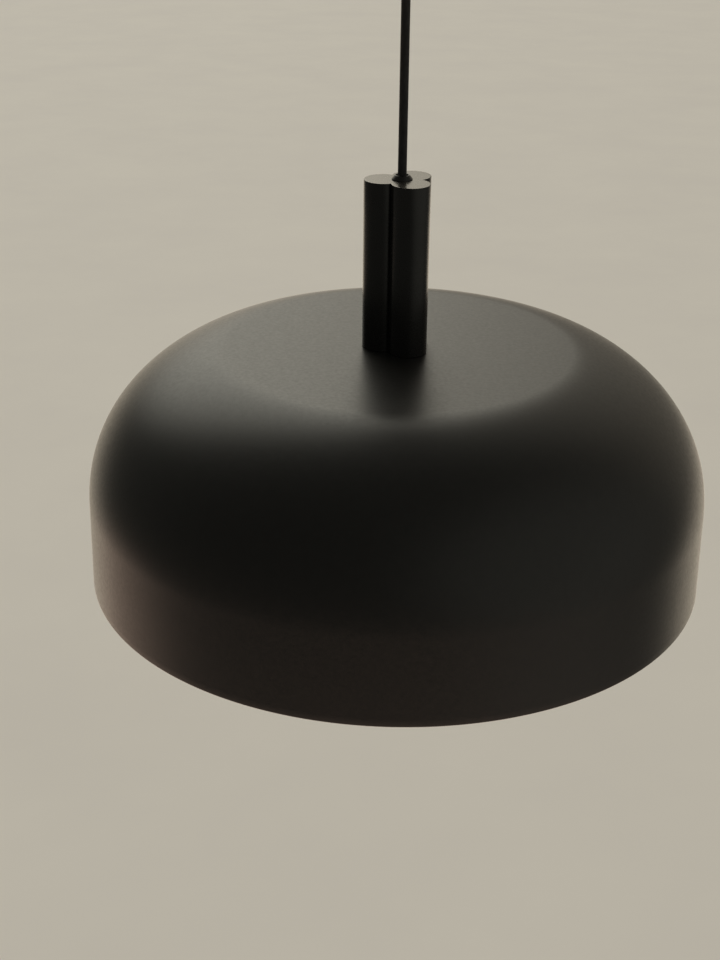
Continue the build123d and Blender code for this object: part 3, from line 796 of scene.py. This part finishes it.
def gland_cone(looks):
    """Low cone with a wide mouth, screwed into the stem's end face."""
    top, lip = STEM_TOP_Z, GLAND_HIGH.z
    radius = GLAND_HIGH.x
    bore = CORD_RADIUS + 0.3 * MM
    outline = rounded([
        (bore, GLAND_LOW.z, 0),
        (THREAD_RADIUS, GLAND_LOW.z, 0.5 * MM),
        (THREAD_RADIUS, top, 0),
        (radius, top, 0),
        (radius, top + 0.5 * MM, 0.35 * MM),
        (5.1 * MM, lip, 0.2 * MM),
        (4.4 * MM, lip, 0.2 * MM),
        (bore, top - 0.6 * MM, 0.4 * MM),
    ])
    cone = lathe("gland_cone", outline, 96)
    finish_piece(cone, looks, "lamp", "stem_gland", "black_stem_coat")


def canopy_shell(looks):
    """Cup under the ceiling, with a large rounded corner and a hole for the cord grip."""
    radius, bottom = CUP_HIGH.x, CUP_LOW.z
    wall = 1.0 * MM
    corner = 10 * MM
    hole = THREAD_RADIUS + 0.15 * MM
    outline = rounded([
        (radius - wall, 0, 0.25 * MM),
        (radius, 0, 0.25 * MM),
        (radius, bottom, corner),
        (hole, bottom, 0.2 * MM),
        (hole, bottom + wall, 0),
        (radius - wall, bottom + wall, corner - wall),
    ], 12)
    cup = lathe("canopy_shell", outline, 192, sharp_angle=40.0)
    finish_piece(cup, looks, "ceiling_fitting", "canopy_cup", "black_powder_coat")


def ribbed_grip(looks):
    """Cord grip with finger ribs round its flange and a flared mouth."""
    under_cup = CUP_LOW.z
    lip = GRIP_LOW.z
    bore = CORD_RADIUS + 0.3 * MM
    flange = 8.0 * MM
    flange_low = under_cup - 2.5 * MM
    rib_count = 28
    rib_depth = 0.35 * MM

    def ribs(radius, height, angle):
        if flange_low < height < under_cup and radius > flange - 0.6 * MM:
            return radius - rib_depth * (0.5 + 0.5 * cos(rib_count * angle))
        return radius

    outline = rounded([
        (bore, GRIP_HIGH.z, 0),
        (THREAD_RADIUS, GRIP_HIGH.z, 0.4 * MM),
        (THREAD_RADIUS, under_cup, 0),
        (flange, under_cup, 0.25 * MM),
        (flange, flange_low, 0.4 * MM),
        (6.5 * MM, lip + 0.8 * MM, 0.6 * MM),
        (5.8 * MM, lip, 0.4 * MM),
        (5.0 * MM, lip, 0.3 * MM),
        (bore, lip + 4.0 * MM, 1.0 * MM),
    ])
    grip = lathe("ribbed_grip", outline, 224, ribs)
    finish_piece(grip, looks, "ceiling_fitting", "grip_body", "black_plastic")


def holder_dome(looks):
    """Domed cap of the lampholder, with a threaded collar inside."""
    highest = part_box("holder_cap")[1]
    top, radius = highest.z, highest.x
    outline = rounded([
        (THREAD_RADIUS, top, 0.3 * MM),
        (8.5 * MM, top, 0.5 * MM),
        (14.0 * MM, top - 1.5 * MM, 2.0 * MM),
        (18.6 * MM, top - 6.0 * MM, 3.0 * MM),
        (radius, top - 13.0 * MM, 2.0 * MM),
        (radius, top - 21.0 * MM, 0.4 * MM),
        (18.7 * MM, top - 21.0 * MM, 0.2 * MM),
        (18.7 * MM, top - 14.0 * MM, 1.0 * MM),
        (16.9 * MM, top - 7.6 * MM, 2.0 * MM),
        (13.0 * MM, top - 3.8 * MM, 1.0 * MM),
        (8.0 * MM, top - 3.3 * MM, 0.2 * MM),
        (8.0 * MM, top - 10.0 * MM, 0.2 * MM),
        (THREAD_RADIUS, top - 10.0 * MM, 0.2 * MM),
    ])
    dome = lathe("holder_dome", outline, 128)
    finish_piece(dome, looks, "lamp", "holder_cap", "black_plastic")


def holder_barrel(looks):
    """Skirt of the lampholder, with six moulded grooves to turn it by."""
    low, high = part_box("holder_skirt")
    joint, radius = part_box("holder_cap")[0].z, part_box("holder_cap")[1].x
    neck = 18.7 * MM
    bore = 17.2 * MM
    groove_bottom = radius - 0.5 * MM
    groove_pitch = 2.4 * MM
    grooves = []
    for i in range(6):
        z = joint - 3.0 * MM - i * groove_pitch
        grooves += [(radius, z, 0), (groove_bottom, z - 0.4 * MM, 0.15 * MM)]
        grooves += [(groove_bottom, z - 1.0 * MM, 0.15 * MM), (radius, z - 1.4 * MM, 0)]
    outline = rounded([
        (bore, high.z, 0.3 * MM),
        (neck, high.z, 0.3 * MM),
        (neck, joint, 0),
        (radius, joint, 0.3 * MM),
        *grooves,
        (radius, low.z, 1.2 * MM),
        (bore, low.z, 0.5 * MM),
    ])
    barrel = lathe("holder_barrel", outline, 128)
    finish_piece(barrel, looks, "lamp", "holder_skirt", "black_plastic")


def threaded_tube(name, low, high, mean, depth, wall, thread_low, thread_high):
    """Pressed shell whose wall winds in and out as a right-hand knuckle thread."""
    rows_per_turn = 16
    rows = int((high - low) / (E27_PITCH / rows_per_turn))

    def fade(z):
        """The thread's share of its full depth, which it loses over half a turn at its ends."""
        turns = min(z - thread_low, thread_high - z) / (E27_PITCH / 2)
        return max(0.0, min(1.0, turns))

    def winding(radius, height, angle):
        return radius + depth * fade(height) * sin(2 * pi * height / E27_PITCH - angle)

    heights = [low + (high - low) * i / rows for i in range(rows + 1)]
    outer = [(mean + wall / 2, z) for z in heights]
    inner = [(mean - wall / 2, z) for z in reversed(heights)]
    return lathe(name, outer + inner, 128, winding, 50.0)


def bulb_thread(looks):
    """Screw cap of the bulb."""
    low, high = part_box("bulb_screw_cap")
    cap = threaded_tube(
        "bulb_thread",
        low=low.z + 0.6 * MM,
        high=high.z,
        mean=12.5 * MM,
        depth=0.5 * MM,
        wall=0.4 * MM,
        thread_low=low.z + 3.5 * MM,
        thread_high=high.z,
    )
    finish_piece(cap, looks, "bulb", "bulb_screw_cap", "nickel_cap")


def socket_thread(looks):
    """Screw shell of the lampholder."""
    low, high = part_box("holder_thread_shell")
    shell = threaded_tube(
        "socket_thread",
        low=low.z,
        high=high.z,
        mean=14.1 * MM,
        depth=0.4 * MM,
        wall=0.4 * MM,
        thread_low=low.z + 1.0 * MM,
        thread_high=high.z - 2.5 * MM,
    )
    finish_piece(shell, looks, "lamp", "holder_thread_shell", "brass")


def ball_outline(radius, centre, first, last, steps=40):
    """Outline of a ball between two angles from its top, both ends included."""
    angles = [first + (last - first) * i / steps for i in range(steps + 1)]
    return [(radius * sin(a), centre + radius * cos(a)) for a in angles]


def opal_dome(looks):
    """Part of a hollow ball, open at the top where it meets the housing."""
    low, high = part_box("bulb_dome")
    radius = high.x
    wall = 1.2 * MM
    inner_radius = radius - wall
    centre = low.z + radius
    outer = ball_outline(radius, centre, acos((high.z - centre) / radius), pi)
    inner = ball_outline(inner_radius, centre, pi, acos((high.z - centre) / inner_radius))
    outer[-1] = (0, low.z)
    inner[0] = (0, low.z + wall)
    dome = lathe("opal_dome", outer + inner, 128)
    finish_piece(dome, looks, "bulb", "bulb_dome", "opal_plastic")


# Surroundings

PALE = (0.50, 0.47, 0.41)  # backdrop and floor

# Colours of the light
DAYLIGHT = (1.0, 0.97, 0.84)
CURTAIN = (1.0, 0.86, 0.66)
LAMPLIGHT = (1.0, 0.70, 0.53)
AMBIENT_STRENGTH = 0.10

# Soft round glows about the lamp, in round numbers: name, azimuth from +Y towards +X,
# elevation and reach in degrees, colour, strength
GLOWS = (
    ("window", -22, 35, 34, DAYLIGHT, 1.8),
    ("above_window", 10, 45, 45, DAYLIGHT, 0.15),
    ("curtain_behind", -15, -25, 40, CURTAIN, 1.0),
    ("curtain_right", 30, -30, 25, CURTAIN, 1.0),
    ("room_behind", 25, 15, 50, CURTAIN, 0.25),
    ("lamplit_left", -60, -45, 30, LAMPLIGHT, 0.9),
    ("room_right", 120, 10, 60, DAYLIGHT, 0.2),
    ("lamplit_floor", 0, -90, 55, LAMPLIGHT, 1.6),
)
GLOW_CORE = 0.3  # share of its reach over which a glow is at full strength


def make_floor():
    """Plain pale floor, far enough below the lamp to look up at it from underneath.

    Only the camera sees it, so it throws no light and no shadow on the lamp.
    """
    half_width = 40.0
    height = -2.4
    signs = ((-1, -1), (1, -1), (1, 1), (-1, 1))
    corners = [(half_width * x, half_width * y, height) for x, y in signs]
    floor = mesh_object("floor", corners, [(0, 1, 2, 3)])
    material, tree, shader = new_material("pale_floor", (0.40, 0.37, 0.33), 0.8)
    where = place(tree)
    tint(tree, shader, noise(tree, where, 0.6, 3.0), (0.38, 0.35, 0.31), (0.42, 0.39, 0.34))
    shader.inputs["Emission Color"].default_value = (*PALE, 1)
    shader.inputs["Emission Strength"].default_value = 0.62
    floor.data.materials.append(material)
    floor.visible_glossy = False
    floor.visible_diffuse = False
    floor.visible_transmission = False
    floor.visible_shadow = False


def glow(tree, direction, azimuth, elevation, reach, colour, strength):
    """Light of one soft round glow, by how far a direction is from its middle."""
    a, e = radians(azimuth), radians(elevation)
    middle = (sin(a) * cos(e), cos(a) * cos(e), sin(e))
    facing = add(tree, "VectorMath", operation="DOT_PRODUCT")
    facing.inputs[1].default_value = middle
    tree.links.new(direction, facing.inputs[0])
    span = {"From Min": cos(radians(reach)), "From Max": cos(radians(reach * GLOW_CORE))}
    share = add(tree, "MapRange", span, interpolation_type="SMOOTHSTEP")
    tree.links.new(facing.outputs["Value"], share.inputs["Value"])
    light = add(tree, "VectorMath", operation="SCALE")
    light.inputs[0].default_value = [strength * channel for channel in colour]
    tree.links.new(share.outputs["Result"], light.inputs["Scale"])
    return light.outputs["Vector"]


def make_world():
    """Studio of soft glows; the camera itself sees only a plain pale backdrop."""
    world = bpy.data.worlds.new("studio")
    bpy.context.scene.world = world
    world.use_nodes = True
    tree = world.node_tree
    background = tree.nodes["Background"]
    direction = add(tree, "TexCoord").outputs["Generated"]
    total = add(tree, "VectorMath", operation="ADD")
    total.inputs[0].default_value = [AMBIENT_STRENGTH * channel for channel in DAYLIGHT]
    for name, *shape in GLOWS:
        light = glow(tree, direction, *shape)
        light.node.label = name
        tree.links.new(light, total.inputs[1])
        following = add(tree, "VectorMath", operation="ADD")
        tree.links.new(total.outputs["Vector"], following.inputs[0])
        total = following
    tree.links.new(total.outputs["Vector"], background.inputs["Color"])
    backdrop = add(tree, "Background", {"Color": (*PALE, 1)})
    rays = add(tree, "LightPath")
    choice = add(tree, "MixShader")
    tree.links.new(rays.outputs["Is Camera Ray"], choice.inputs["Fac"])
    tree.links.new(background.outputs["Background"], choice.inputs[1])
    tree.links.new(backdrop.outputs["Background"], choice.inputs[2])
    tree.links.new(choice.outputs["Shader"], tree.nodes["World Output"].inputs["Surface"])


make_camera()
all_looks = make_looks()
braided_cord(all_looks)
dress_cad_nodes(all_looks)
shade_shell(all_looks)
lobed_stem(all_looks)
gland_cone(all_looks)
canopy_shell(all_looks)
ribbed_grip(all_looks)
holder_dome(all_looks)
holder_barrel(all_looks)
bulb_thread(all_looks)
socket_thread(all_looks)
opal_dome(all_looks)
make_floor()
make_world()
bpy.context.scene.view_settings.view_transform = "Standard"
